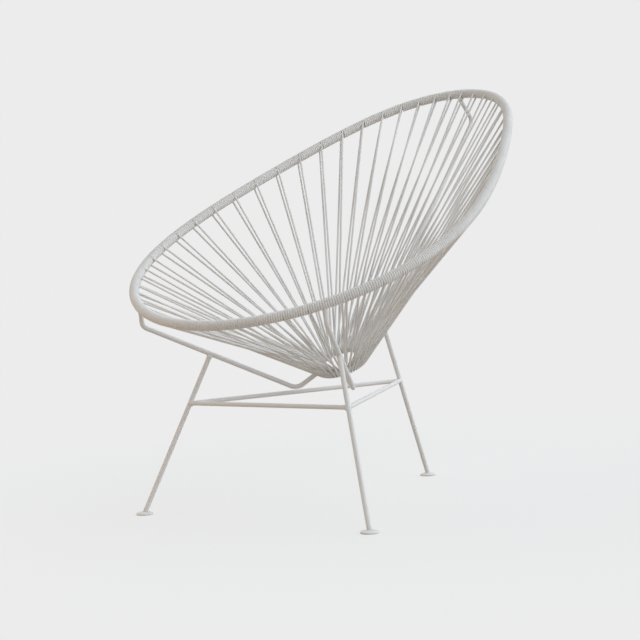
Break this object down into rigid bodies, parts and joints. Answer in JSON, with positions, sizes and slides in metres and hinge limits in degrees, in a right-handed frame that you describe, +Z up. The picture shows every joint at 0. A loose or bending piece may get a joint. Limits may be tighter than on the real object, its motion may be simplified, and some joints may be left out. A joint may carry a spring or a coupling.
{
  "type": "acapulco chair",
  "caption": "Low lounge chair of bent steel rod with an egg-shaped bowl seat of round plastic cord strung from a wound hoop to a small seat ring.",
  "frame": {"origin": "middle of the chair's bounding box, on the floor", "axes": "+Z up, the sitter looks along -Y, X = 0 is the mirror plane"},
  "size_m": [0.7694, 0.9982, 0.8712],
  "materials": {
    "frame": "white satin powder coat",
    "cord": "off-white round PVC cord, satin"
  },
  "bodies": {
    "root": {"rim_hoop": "frame", "seat_ring": "frame", "rib_front_left": "frame", "rib_front_right": "frame", "rib_rear": "frame", "leg_front_left": "frame", "leg_front_right": "frame", "leg_rear": "frame", "foot_front_left": "frame", "foot_front_right": "frame", "foot_rear": "frame", "stretcher_front": "frame", "stretcher_left": "frame", "stretcher_right": "frame", "cord_right_01": "cord", "cord_right_02": "cord", "cord_right_03": "cord", "cord_right_04": "cord", "cord_right_05": "cord", "cord_right_06": "cord", "cord_right_07": "cord", "cord_right_08": "cord", "cord_right_09": "cord", "cord_right_10": "cord", "cord_right_11": "cord", "cord_left_01": "cord", "cord_left_02": "cord", "cord_left_03": "cord", "cord_left_04": "cord", "cord_left_05": "cord", "cord_left_06": "cord", "cord_left_07": "cord", "cord_left_08": "cord", "cord_left_09": "cord", "cord_left_10": "cord", "cord_left_11": "cord", "cord_front_01": "cord", "cord_front_02": "cord", "cord_front_03": "cord", "cord_front_04": "cord", "cord_front_05": "cord"}
  },
  "joints": []
}
